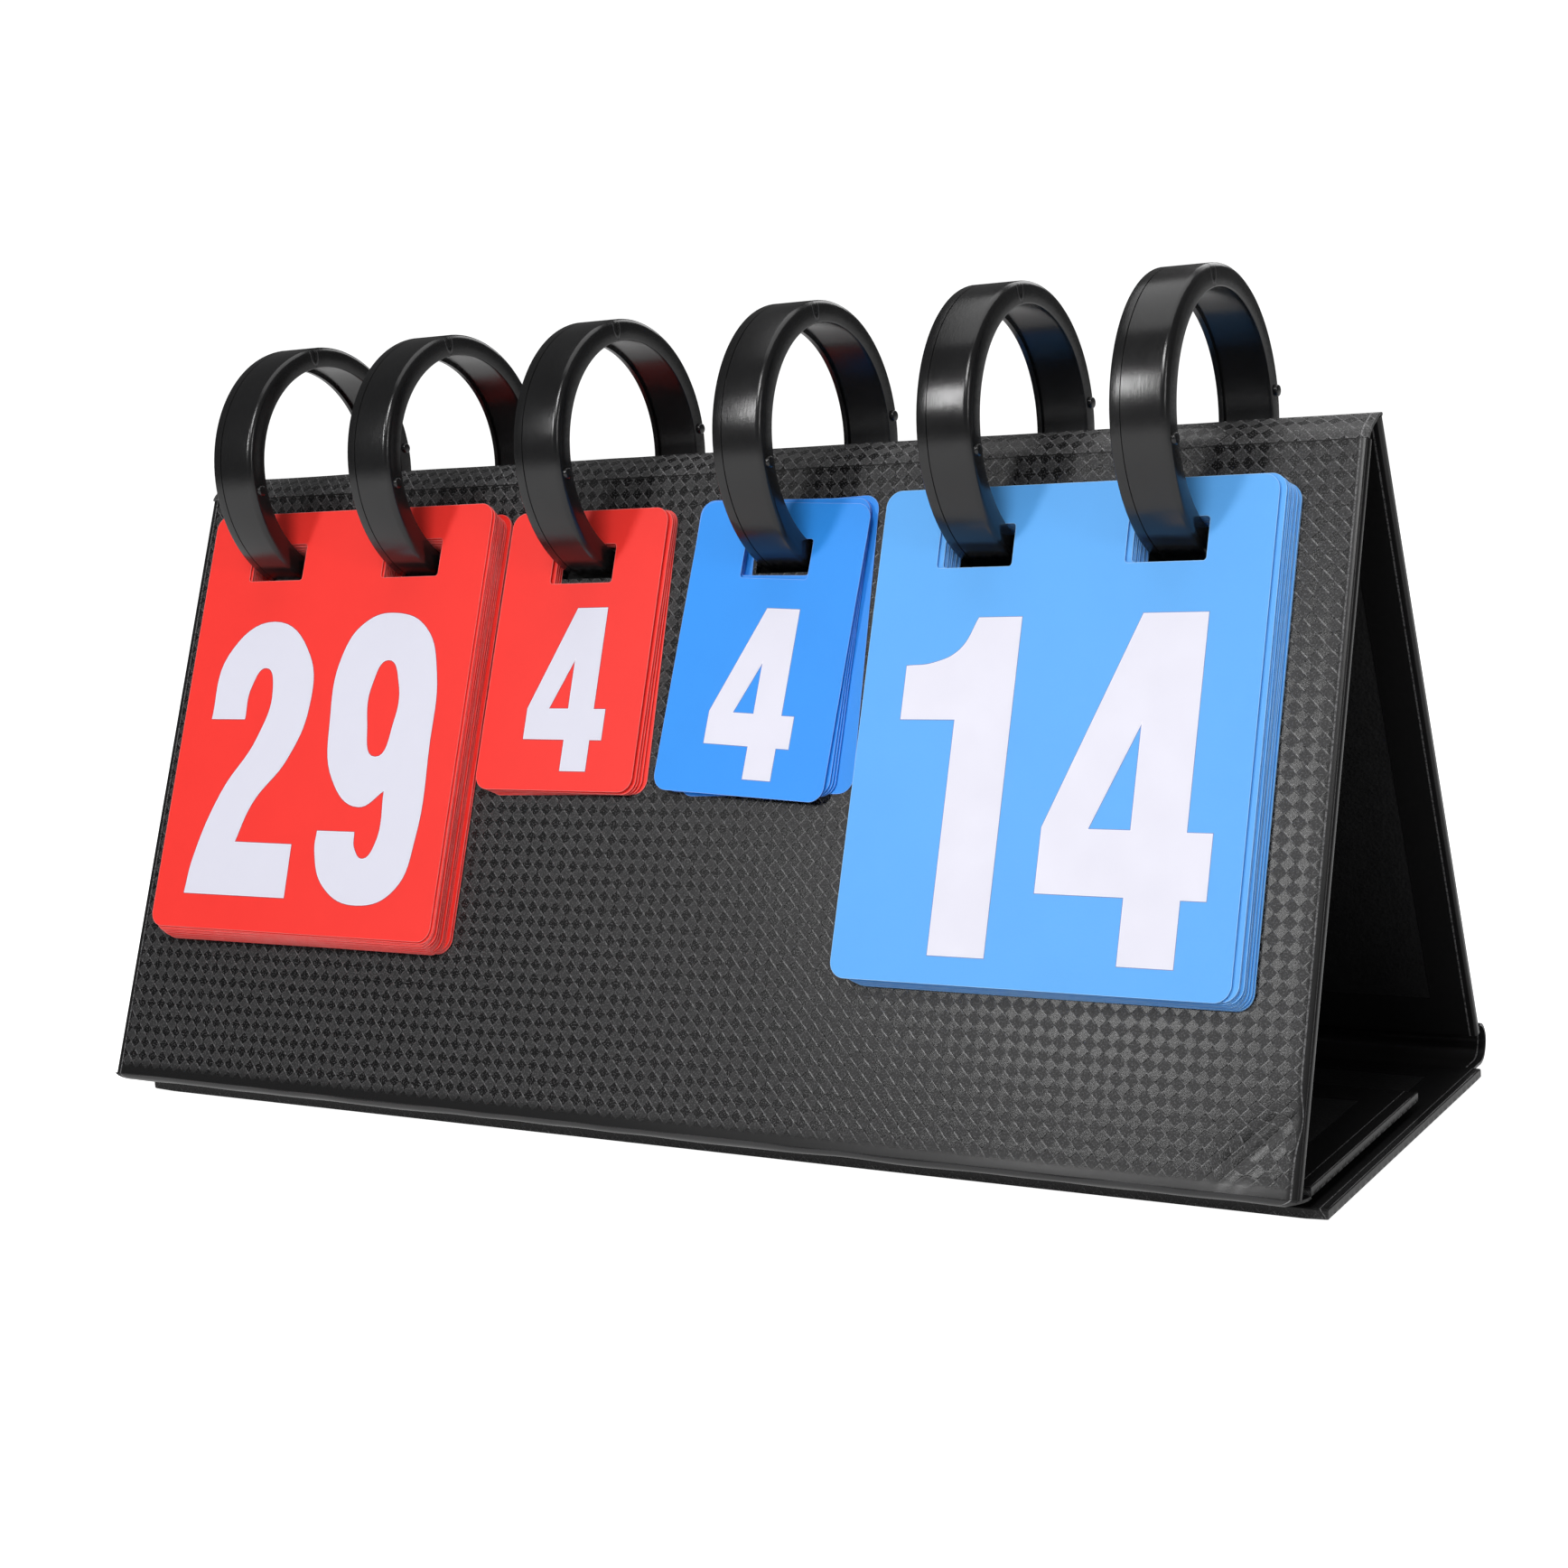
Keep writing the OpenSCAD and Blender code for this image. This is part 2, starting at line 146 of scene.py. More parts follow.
greyboard, shader = new_finish("greyboard", Roughness=0.9)
tree = greyboard.node_tree
where = place_node(tree, "TexCoord", out=3)
flecks = place_node(tree, "TexNoise", where, None, 900.0, 4.0, 0.7)
feed(shader, Base_Color=mix_colour(tree, flecks, (0.16, 0.14, 0.12), (0.33, 0.3, 0.26)),
     Normal=bump(tree, flecks, 0.0002))
paint_node(["base_board", "rear_board", "front_board", "flap_board"], greyboard)


# The leather. One black imitation leather covers everything: a fine 45 degree basket weave is
# pressed into it, and it is left smooth where it turns round an edge or is stretched.
WEAVE_PITCH = 4.1  # mm from one pale diamond to the next
# FOLD_LINE also places the bright line painted along that crease as a painted highlight.
FOLD_LINE = 192.9  # mm from a board's middle to the crease beside its edge

weave, given, result = new_group(
    "basket_weave",
    [("Weave", "Float", 1.0), ("Pitch", "Float", WEAVE_PITCH)],
    [("Pale", "Float"), ("PaintedHighlights", "Float"), ("Height", "Float"), ("Cell", "Float")],
)
uv = place_node(weave, "UVMap", uv_map="leather")
across = place_node(weave, "SeparateXYZ", uv, out=0)
along = place_node(weave, "SeparateXYZ", uv, out=1)
drift = place_node(weave, "TexNoise", uv, None, 0.12, 2.0, 0.5)
drift = math_node(weave, "MULTIPLY", math_node(weave, "SUBTRACT", drift, 0.5), 0.25)
rise = math_node(weave, "DIVIDE", math_node(weave, "ADD", across, along), given["Pitch"])
rise = math_node(weave, "ADD", rise, drift)
fall = math_node(weave, "DIVIDE", math_node(weave, "SUBTRACT", across, along), given["Pitch"])
fall = math_node(weave, "SUBTRACT", fall, drift)
cell_sum = math_node(weave, "ADD", math_node(weave, "FLOOR", rise),
                     math_node(weave, "FLOOR", fall))
pale_cell = math_node(weave, "SUBTRACT", 1.0, math_node(weave, "PINGPONG", cell_sum, 1.0))
speckle = place_node(weave, "TexNoise", uv, None, 1.9, 2.0, 0.6)
speckle = place_node(weave, "MapRange", speckle, 0.36, 0.66, 0.0, 1.0)
# Painted sparkle: sparse bright specks in the colour that stand in for glints of light.
painted_sparkle = place_node(weave, "TexNoise", uv, None, 2.4, 1.0, 0.5)
painted_sparkle = place_node(weave, "MapRange", painted_sparkle, 0.56, 0.66, 0.0, 1.0)
# Thin bright lines part the cells. They are painted highlights where the cell edges would catch the
# light: the falling ones are the brighter, and all are broken up.
broken = place_node(weave, "TexNoise", uv, None, 1.1, 2.0, 0.6)
broken = place_node(weave, "MapRange", broken, 0.42, 0.6, 0.0, 1.0)
from_rise = math_node(weave, "PINGPONG", rise, 0.5)
from_fall = math_node(weave, "PINGPONG", fall, 0.5)
rise_line = place_node(weave, "MapRange", from_rise, 0.07, 0.035, 0.0, 1.0)
fall_line = place_node(weave, "MapRange", from_fall, 0.06, 0.03, 0.0, 0.5)
painted_highlights = math_node(weave, "MULTIPLY", math_node(weave, "MAXIMUM", rise_line, fall_line), broken)
painted_highlights = math_node(weave, "MAXIMUM", painted_highlights, math_node(weave, "MULTIPLY", painted_sparkle, 0.5))
# The leather is creased sharply just inside a board's side edges, and the crease gets a painted
# highlight: a broken bright line in the colour.
beside = math_node(weave, "SUBTRACT", math_node(weave, "ABSOLUTE", across), FOLD_LINE)
painted_fold_highlight = math_node(weave, "COMPARE", beside, 0.0, 0.22)
notch = place_node(weave, "TexNoise", uv, None, 1.6, 2.0, 0.6)
notch = place_node(weave, "MapRange", notch, 0.4, 0.56, 0.2, 1.0)
painted_fold_highlight = math_node(weave, "MULTIPLY", painted_fold_highlight, notch)
# Every other cell is pale, with strands along it and speckles over them.
strands = math_node(weave, "PINGPONG", math_node(weave, "MULTIPLY", fall, 4.0), 0.5)
pale = math_node(weave, "MULTIPLY_ADD", strands, 0.5, 0.15)
pale = math_node(weave, "MULTIPLY_ADD", speckle, 0.6, pale)
pale = math_node(weave, "MULTIPLY", pale, pale_cell)
# The cells lie flat with a narrow groove between them; the grain lies over that.
groove = math_node(weave, "MINIMUM", from_rise, from_fall)
groove = place_node(weave, "MapRange", groove, 0.0, 0.09, 0.0, 1.0)
height = math_node(weave, "MULTIPLY_ADD", speckle, 0.25, groove)
height = math_node(weave, "MULTIPLY_ADD", pale_cell, 0.4, height)
weave.links.new(math_node(weave, "MULTIPLY", pale, given["Weave"]), result["Pale"])
painted_highlights = math_node(weave, "MULTIPLY", painted_highlights, given["Weave"])
weave.links.new(math_node(weave, "MAXIMUM", painted_highlights, painted_fold_highlight), result["PaintedHighlights"])
weave.links.new(math_node(weave, "MULTIPLY", height, given["Weave"]), result["Height"])
weave.links.new(math_node(weave, "MULTIPLY", pale_cell, given["Weave"]), result["Cell"])

grain, given, result = new_group(
    "leather_grain", [("Scale", "Float", 1.0)], [("Height", "Float"), ("Blotch", "Float")]
)
where = place_node(grain, "TexCoord", out=3)
fine, middling, coarse = (math_node(grain, "MULTIPLY", given["Scale"], scale)
                          for scale in (1300.0, 260.0, 22.0))
pores = place_node(grain, "TexVoronoi", where, None, fine)
creases = place_node(grain, "TexNoise", where, None, middling, 4.0, 0.62)
blotch = place_node(grain, "TexNoise", where, None, coarse, 3.0, 0.6)
grain.links.new(math_node(grain, "MULTIPLY_ADD", pores, 0.5, creases), result["Height"])
grain.links.new(blotch, result["Blotch"])


def leather_finish(name, dark, smooth_tone, pale_tone, painted_highlight_tone, smooth_rough, gloss,
                   creased=0.0):
    """The leather, with its weave where the weave attribute is 1 and smooth where it is 0."""
    finish, shader = new_finish(name, Specular_IOR_Level=gloss)
    tree = finish.node_tree
    amount = place_node(tree, "Attribute", attribute_name="weave", out=2)
    pale_part, painted_highlight_part, weave_height, cell = use_group(tree, weave, amount, WEAVE_PITCH)
    grain_height, blotch_part = use_group(tree, grain, 1.0)[:2]
    tone = mix_colour(tree, blotch_part, tuple(0.8 * c for c in dark),
                      tuple(1.35 * c for c in dark))
    tone = mix_colour(tree, amount, smooth_tone, tone)
    tone = mix_colour(tree, pale_part, tone, pale_tone)
    # Painted highlights lighten the colour here: the bright lines between the cells, the sparkle
    # and the line along the side crease.
    tone = mix_colour(tree, painted_highlight_part, tone, painted_highlight_tone)
    rough = place_node(tree, "MapRange", cell, 0.0, 1.0, smooth_rough, smooth_rough + 0.18)
    relief = math_node(tree, "ADD", math_node(tree, "MULTIPLY", weave_height, 0.1),
                       math_node(tree, "MULTIPLY", grain_height, 0.025))
    if creased:
        where = place_node(tree, "TexCoord", out=3)
        stretch = place_node(tree, "Mapping", where, None, None, (0.5, 1.0, 1.0))
        folds = place_node(tree, "TexNoise", stretch, None, 130.0, 3.0, 0.6, None, 0.7)
        relief = math_node(tree, "ADD", relief, math_node(tree, "MULTIPLY", folds, creased))
    feed(shader, Base_Color=tone, Roughness=rough, Normal=bump(tree, relief, 0.0002))
    return finish


board_leather = leather_finish("board_leather", (0.0028, 0.0028, 0.003), (0.0095, 0.0094, 0.0097),
                               (0.0345, 0.0341, 0.0351), (0.15, 0.149, 0.152), 0.27, 0.28)


# The covers. Each board is wrapped in the leather, glued down over its outer face and round its
# edges, and turned in over the inside, with a window there for the lining.
BOARD_W = 390 * MM
BOARD_T = 3 * MM
TURN_IN = 12 * MM  # how far the leather reaches round to the inside
LINING_T = 0.5 * MM
AXIS_IN = 3.3 * MM  # from a board's leather face to the ridge's turning axis
FRONT_TILT = math.radians(22.6)
REAR_TILT = math.radians(19.1)
FRONT_REACH = 197.2 * MM  # from the front board's foot to the ridge's turning axis
FRONT_GAP = 9.6 * MM  # from the boards' heads to that axis
REAR_GAP = 3.9 * MM
HEEL_RISE = 3.7 * MM  # from the heel roll's axis up to the rear board's foot
BASE_SHIFT = 6 * MM  # how far the base lies to the right of the upright boards
NEAR = 0.1 * MM  # what still counts as lying on an edge
LINING_STEP = 0.1 * MM  # the slope between the turned-in leather and the lining's window
LAP_W = 1.2 * MM  # how near an edge the leather counts as wrapped round it

joints = {j["name"]: j for j in frame["joints"]}
ridge = Vector(joints["ridge_hinge"]["pos_m"])
base_low, base_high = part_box("base_cover")
flap_low, flap_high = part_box("flap_cover")


def board_frame(origin, across, up):
    """A board's own axes: X across it, Y up it from its foot, Z out of its leather face."""
    out = across.cross(up)
    return Matrix((
        (across.x, up.x, out.x, origin.x),
        (across.y, up.y, out.y, origin.y),
        (across.z, up.z, out.z, origin.z),
        (0, 0, 0, 1),
    ))


left, right, back = Vector((-1, 0, 0)), Vector((1, 0, 0)), Vector((0, 1, 0))
front_up = Vector((0, math.sin(FRONT_TILT), math.cos(FRONT_TILT)))
front_out = right.cross(front_up)
rear_up = Vector((0, -math.sin(REAR_TILT), math.cos(REAR_TILT)))
rear_out = left.cross(rear_up)
middle = Vector((-BASE_SHIFT, ridge.y, ridge.z))
front_foot = middle + AXIS_IN * front_out - FRONT_REACH * front_up
heel_top = joints["rear_hinge"]["pos_m"][2] + HEEL_RISE
rear_reach = (middle.z + AXIS_IN * rear_out.z - heel_top) / rear_up.z
rear_foot = middle + AXIS_IN * rear_out - rear_reach * rear_up
front_place = board_frame(front_foot, right, front_up)
rear_place = board_frame(rear_foot, left, rear_up)
base_place = board_frame(Vector((0, base_low.y, base_low.z)), left, back)
flap_place = board_frame(Vector((-BASE_SHIFT, flap_low.y, flap_low.z)), left, back)

RING_HALF_W = 7.8 * MM
SLOT_W = 19.9 * MM
SLOT_H = 9.5 * MM
RING_MID = 35.25 * MM
ring_x = [joints[f"ring_{i}_turn"]["pos_m"][0] for i in range(1, 7)]


def new_object(name, mesh_maker, finish):
    """Turns a finished bmesh into an object of that name with one finish."""
    mesh = bpy.data.meshes.new(name)
    mesh_maker.to_mesh(mesh)
    mesh_maker.free()
    mesh.materials.append(finish)
    mesh.set_sharp_from_angle(angle=math.radians(40))
    made = bpy.data.objects.new(name, mesh)
    bpy.context.scene.collection.objects.link(made)
    return made


def cut_at(bm, axis, places):
    """Cuts the whole mesh across at each place along an axis."""
    normal = Vector([1.0 if i == axis else 0.0 for i in range(3)])
    for at in places:
        bmesh.ops.bisect_plane(bm, geom=bm.verts[:] + bm.edges[:] + bm.faces[:],
                               plane_co=normal * at, plane_no=normal, dist=1e-7)


PLEAT_REACH = 16 * MM  # from the corner to the middle of the pleats
PLEAT_BAND = 4.5 * MM
PLEAT_HALF_LEN = 13 * MM
PLEAT_WAVE = 0.7 * MM
PLEAT_DEPTH = 0.33 * MM
PLEAT_STEP = 1.5 * MM
GRID_STEP = 6 * MM
BOW = 0.12 * MM  # how far the leather face sinks between the edges
SIDE_SINK = 0.3 * MM
SIDE_SINK_W = 3.6 * MM
FADE_FROM = 0.45  # share of the smooth border in which the weave hasn't begun


def pleat(co, half):
    """How deep a point lies in the pleats across the front board's lower right corner, 0 to 1."""
    from_corner = ((half - co.x) + co.y) / math.sqrt(2)
    beside = ((half - co.x) - co.y) / math.sqrt(2)
    return math.exp(-((from_corner - PLEAT_REACH) / PLEAT_BAND) ** 2
                    - (beside / PLEAT_HALF_LEN) ** 4)


def board_cuts(width, length, slots, slot_y, smooth, pleated):
    """Where a board's faces are cut across and up: at its borders and slots, and in between."""
    half = width / 2
    side, foot, head = smooth
    across_cuts = {round(s * d, 6) for s in (-1, 1)
                   for d in (half - side, half - side * FADE_FROM,
                             half - TURN_IN, half - TURN_IN + LINING_STEP)}
    up_cuts = {round(d, 6) for d in (foot, foot * FADE_FROM, length - head,
                                     length - head * FADE_FROM, TURN_IN, TURN_IN - LINING_STEP,
                                     length - TURN_IN, length - TURN_IN + LINING_STEP)}
    across_cuts |= {round(x + s * SLOT_W / 2, 6) for x in slots for s in (-1, 1)}
    if slots:
        up_cuts |= {round(slot_y + s * SLOT_H / 2, 6) for s in (-1, 1)}
    if pleated:
        across_cuts |= {round(half - k * PLEAT_STEP, 6) for k in range(2, 24)}
        up_cuts |= {round(k * PLEAT_STEP, 6) for k in range(1, 24)}
    for cuts, low, high in ((across_cuts, -half, half), (up_cuts, 0.0, length)):
        for k in range(1, int((high - low) / GRID_STEP)):
            at = low + k * GRID_STEP
            if min(abs(at - c) for c in cuts) > 1.2 * MM and min(at - low, high - at) > 1.6 * MM:
                cuts.add(round(at, 6))
    return sorted(across_cuts), sorted(up_cuts)


def rim_edges(bm, half, length, hinged):
    """The sharp edges along a board's sides and, where no hinge strip joins it, along its ends."""
    sides, ends = [], []
    for e in bm.edges:
        if len(e.link_faces) != 2 or e.calc_face_angle() <= 1.0:
            continue
        a, b = (v.co for v in e.verts)
        mid = (a + b) / 2
        if abs(a.z - b.z) > 1 * MM:
            continue
        if half - abs(mid.x) < NEAR:
            sides.append(e)
        elif not hinged and min(mid.y, length - mid.y) < NEAR:
            ends.append(e)
    return sides + ends


def weave_amount(co, half, length, smooth, pleated):
    """1 where a board's leather is woven, falling to 0 in its smooth border and on its inside."""
    if co.z < -0.75 * BOARD_T:
        return 0.0
    amount = 1.0
    if any(smooth):
        inset = (half - abs(co.x), co.y, length - co.y)
        amount = min((reach - border * FADE_FROM) / (border * (1 - FADE_FROM))
                     for reach, border in zip(inset, smooth))
        amount = max(0.0, min(1.0, amount))
    return amount * (1.0 - 0.35 * pleat(co, half) ** 2) if pleated else amount


def leather_uv(co, half, length, pleated):
    """The leather's own mm at a point: it runs on round the edges and is pulled by the pleats."""
    lap = -co.z if half - abs(co.x) < LAP_W else 0.0
    up_lap = co.z if co.y < LAP_W else -co.z if length - co.y < LAP_W else 0.0
    u, v = (co.x + math.copysign(lap, co.x)) / MM, (co.y + up_lap) / MM
    if pleated:
        pull = 0.5 * pleat(co, half) * ((half - co.x) - co.y) / MM / 2
        u, v = u + pull, v + pull
    return u, v


def leather_board(name, width, length, place, slots, slot_y, smooth, hinged, edge_round,
                  pleated=False):
    """A wrapped board. smooth is how far from the sides, foot and head the leather has no weave."""
    bm = bmesh.new()
    bmesh.ops.create_grid(bm, x_segments=1, y_segments=1, size=0.5)
    bmesh.ops.scale(bm, vec=(width, length, 1), verts=bm.verts)
    bmesh.ops.translate(bm, vec=(0, length / 2, 0), verts=bm.verts)
    half = width / 2
    for axis, cuts in enumerate(board_cuts(width, length, slots, slot_y, smooth, pleated)):
        cut_at(bm, axis, cuts)
    centres = [(f, f.calc_center_median()) for f in bm.faces]
    holes = [f for f, at in centres if abs(at.y - slot_y) < SLOT_H / 2
             and any(abs(at.x - x) < SLOT_W / 2 for x in slots)]
    bmesh.ops.delete(bm, geom=holes, context="FACES")
    top = bm.verts[:]
    inside = bmesh.ops.extrude_face_region(bm, geom=bm.faces[:], use_keep_orig=True)["geom"]
    inside = [v for v in inside if isinstance(v, bmesh.types.BMVert)]
    bmesh.ops.translate(bm, vec=(0, 0, -BOARD_T), verts=inside)
    # The leather face sinks a little between the edges, never outwards where cards lie on it.
    for v in top:
        edge = min(half - abs(v.co.x), v.co.y, length - v.co.y)
        if edge > 2 * MM:
            v.co.z -= BOW * (0.5 + 0.5 * noise.noise(v.co * 28)) * min(1.0, edge / (8 * MM))
        v.co.z -= SIDE_SINK * max(0.0, 1 - (half - abs(v.co.x)) / SIDE_SINK_W) ** 2
        if pleated:
            ripple = 0.5 + 0.5 * math.cos(((half - v.co.x) + v.co.y) / PLEAT_WAVE)
            v.co.z -= PLEAT_DEPTH * pleat(v.co, half) * ripple * min(1.0, edge / (3 * MM))
    # Inside, the lining's window is sunk by a lining's thickness and a hair more.
    border = TURN_IN - LINING_STEP / 2
    for v in inside:
        if half - abs(v.co.x) > border and border < v.co.y < length - border:
            v.co.z += LINING_T + 0.01 * MM
    bmesh.ops.recalc_face_normals(bm, faces=bm.faces)
    bmesh.ops.bevel(bm, geom=rim_edges(bm, half, length, hinged), offset=edge_round, segments=4,
                    profile=0.5, affect="EDGES", material=-1)
    uv = bm.loops.layers.uv.new("leather")
    weave_layer = bm.verts.layers.float.new("weave")
    for v in bm.verts:
        v[weave_layer] = weave_amount(v.co, half, length, smooth, pleated)
    for face in bm.faces:
        for loop in face.loops:
            loop[uv].uv = leather_uv(loop.vert.co, half, length, pleated)
    bmesh.ops.transform(bm, matrix=place, verts=bm.verts)
    bmesh.ops.recalc_face_normals(bm, faces=bm.faces)
    return new_object(name, bm, board_leather)


front_len = FRONT_REACH - FRONT_GAP
rear_len = rear_reach - REAR_GAP
upright_smooth = (3.4 * MM, 4.5 * MM, 0.5 * MM)
no_smooth = (0, 0, 0)
front_leather = leather_board("front_leather", BOARD_W, front_len, front_place,
                              [x + BASE_SHIFT for x in ring_x], FRONT_REACH - RING_MID,
                              upright_smooth, True, 0.9 * MM, pleated=True)
rear_leather = leather_board("rear_leather", BOARD_W, rear_len, rear_place,
                             [-x - BASE_SHIFT for x in ring_x], rear_reach - RING_MID,
                             upright_smooth, True, 0.8 * MM)
base_leather = leather_board("base_leather", base_high.x - base_low.x, base_high.y - base_low.y,
                             base_place, [], 0.0, no_smooth, False, 0.45 * MM)
flap_leather = leather_board("flap_leather", BOARD_W, flap_high.y - flap_low.y, flap_place,
                             [], 0.0, no_smooth, False, 0.45 * MM)
for piece, body, node in (
    (front_leather, "front_panel", "front_cover"),
    (rear_leather, "rear_panel", "rear_cover"),
    (base_leather, "base", "base_cover"),
    (flap_leather, "flap", "flap_cover"),
):
    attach(piece, body)
    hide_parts(node)


# The linings. A plain black sheet closes each board's inside, laid edge to edge with the
# turned-in leather.
lining, shader = new_finish("black_lining", Specular_IOR_Level=0.35)
tree = lining.node_tree
grain_height, blotch_part = use_group(tree, grain, 0.8)[:2]
black = mix_colour(tree, blotch_part, (0.006, 0.006, 0.0065), (0.012, 0.012, 0.0125))
feed(shader, Base_Color=black,
     Roughness=place_node(tree, "MapRange", grain_height, 0.3, 1.0, 0.42, 0.6),
     Normal=bump(tree, grain_height, 0.00015))
paint_node(["base_lining", "rear_lining", "front_lining", "flap_lining"], lining)


# The leather hinges. Between the boards the leather runs on, doubled and with nothing stiff in
# it: over the ridge, in a roll behind the base, and folded under the front board's foot.
STRIP_T = 0.8 * MM
STRIP_COLUMNS = 130
hinge_leather = leather_finish("hinge_leather", (0.005, 0.005, 0.0053), (0.014, 0.0139, 0.0142),
                               (0.045, 0.0446, 0.0456), (0.22, 0.218, 0.223), 0.26, 0.6,
                               creased=0.3)


def flat(v):
    """A point as it lies in the side view."""
    return Vector((0, v.y, v.z))


def bezier(points, t):
    """A point on a cubic curve."""
    a, b, c, d = points
    return ((1 - t) ** 3 * a + 3 * t * (1 - t) ** 2 * b + 3 * t * t * (1 - t) * c + t ** 3 * d)


def leather_hinge(name, path, start_v, woven, wrinkle, drawn_in=0.0):
    """A strip swept across the boards along path, its outer surface as points in the side view.

    woven is its weave, wrinkle the height of its wrinkles and drawn_in how far its ends are
    pulled in midway.
    """
    half = BOARD_W / 2
    bm = bmesh.new()
    line = [bm.verts.new((-half, p.y, p.z)) for p in path]
    edges = [bm.edges.new(pair) for pair in zip(line, line[1:])]
    for _ in range(STRIP_COLUMNS):
        swept = bmesh.ops.extrude_edge_only(bm, edges=edges)["geom"]
        edges = [e for e in swept if isinstance(e, bmesh.types.BMEdge)]
        verts = [v for v in swept if isinstance(v, bmesh.types.BMVert)]
        bmesh.ops.translate(bm, vec=(BOARD_W / STRIP_COLUMNS, 0, 0), verts=verts)
        edges = [e for e in edges if all(v in verts for v in e.verts)]
    bm.verts.ensure_lookup_table()
    runs = [0.0]
    for p, q in zip(path, path[1:]):
        runs.append(runs[-1] + (q - p).length)
    uv = bm.loops.layers.uv.new("leather")
    weave_layer = bm.verts.layers.float.new("weave")
    place_in_run = {}
    for v in bm.verts:
        place_in_run[v] = min(range(len(path)), key=lambda k: (flat(v.co) - path[k]).length_squared)
        v[weave_layer] = woven
    for face in bm.faces:
        for loop in face.loops:
            loop[uv].uv = (loop.vert.co.x / MM, (start_v + runs[place_in_run[loop.vert]]) / MM)
    # The loose middle of the strip is wrinkled; its ends stay glued flat.
    bm.normal_update()
    for v in bm.verts:
        t = place_in_run[v] / (len(path) - 1)
        loose = math.sin(math.pi * t) ** 0.7
        lift = noise.noise(Vector((v.co.x * 55, v.co.y * 260, v.co.z * 260)))
        v.co += v.normal * wrinkle * loose * lift
        v.co.x *= 1 - drawn_in * math.sin(math.pi * t) ** 1.5 / half
    bmesh.ops.translate(bm, vec=(-BASE_SHIFT, 0, 0), verts=bm.verts)
    bmesh.ops.solidify(bm, geom=bm.faces[:], thickness=STRIP_T)
    bmesh.ops.recalc_face_normals(bm, faces=bm.faces)
    return new_object(name, bm, hinge_leather)


front_head = flat(front_foot + front_len * front_up)
rear_head = flat(rear_foot + rear_len * rear_up)
crest = [front_head, front_head + 3 * MM * flat(front_up),
         rear_head + 2 * MM * flat(rear_up), rear_head]
ridge_path = [bezier(crest, k / 12) for k in range(13)]
ridge_leather = leather_hinge("ridge_leather", ridge_path, front_len, 1.0, 0.25 * MM)
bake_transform(ridge_leather)

HEEL_R = 5.5 * MM
HEEL_LAP = 2.1 * MM  # how far in from the roll's face its end lies, at the rear board's foot
heel_axis = flat(Vector(joints["rear_hinge"]["pos_m"]))
heel_out = HEEL_R + STRIP_T / 2
heel_turn = math.pi / 2 + REAR_TILT + math.acos((HEEL_R - STRIP_T - HEEL_LAP) / HEEL_R)
heel_run = heel_axis.y - base_high.y
heel_path = [Vector((0, base_high.y + k * heel_run / 4, heel_axis.z - heel_out)) for k in range(4)]
heel_path += [heel_axis + heel_out * Vector((0, math.sin(a), -math.cos(a)))
              for a in [k * heel_turn / 14 for k in range(15)]]
heel_leather = leather_hinge("heel_leather", heel_path[::-1], 0.0, 0.0, 0.25 * MM)
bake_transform(heel_leather)

toe_end = Vector((0, flap_low.y, flap_low.z))
fold = [flat(front_foot), flat(front_foot - 2.6 * MM * front_up),
        toe_end - Vector((0, 4 * MM, 1.6 * MM)), toe_end]
toe_path = [bezier(fold, k / 14) for k in range(15)]
toe_leather = leather_hinge("toe_leather", toe_path[::-1], 0.0, 0.0, 0.35 * MM, drawn_in=4.5 * MM)
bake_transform(toe_leather)
for piece, node in ((ridge_leather, "ridge_strip"), (heel_leather, "heel_strip"),
                    (toe_leather, "toe_strip")):
    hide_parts(node)


# Hook and loop patches. Two pairs hold the flap down on the base: stiff hooks below, soft
# loops above, both glued.
for name, scale, tone in (("hook_patches", 1400.0, 0.012), ("loop_patches", 700.0, 0.02)):
    patch, shader = new_finish(name + "_tape", Roughness=0.95, Sheen_Weight=0.4)
    tree = patch.node_tree
    where = place_node(tree, "TexCoord", out=3)
    tufts = place_node(tree, "TexVoronoi", where, None, scale)
    feed(shader, Base_Color=mix_colour(tree, tufts, (tone * 2,) * 3, (tone * 0.4,) * 3),
         Normal=bump(tree, tufts, 0.0008))
    paint_node([name], patch)


# The rings. Six rings of black moulded plastic, each snapped together from two equal halves: a
# flat band, hollow inside, with a moulded line along its left edge and a nub on its right side.
RING_R = 38.4 * MM
RING_INNER = RING_R - 6.3 * MM
RING_TURN = math.radians(6.5)  # how far forward of the ring's top its joint lies
SEAM = math.radians(0.13)  # half the gap between the two halves
HOLLOW = 0.9 * MM
RIM_W = 1.6 * MM
LINE_IN = 2.9 * MM  # from a ring's left edge to its moulded line
LINE_W = 0.35 * MM
LINE_SLOPE = 0.1 * MM
LINE_D = 0.25 * MM
RIGHT_R = 1.9 * MM
EDGE_R = 0.45 * MM
NUB_R = 1.6 * MM
NUB_L = 1.4 * MM
NUB_ROOT = 0.4 * MM  # the part of the nub's length that is inside the ring
TONGUE_HALF_W = 1.1 * MM
TONGUE_L = 2.4 * MM
TONGUE_IN = 1.6 * MM  # from the ring's outside to the middle of the tongue's end

ring_plastic, shader = new_finish("ring_plastic", IOR=1.5, Specular_IOR_Level=0.5)
tree = ring_plastic.node_tree
where = place_node(tree, "TexCoord", out=3)
cloud = place_node(tree, "TexNoise", where, None, 38.0, 4.0, 0.6)
scuff_place = place_node(tree, "Mapping", where, None, None, (6.0, 1.0, 1.0))
scuff = place_node(tree, "TexNoise", scuff_place, None, 420.0, 3.0, 0.7)
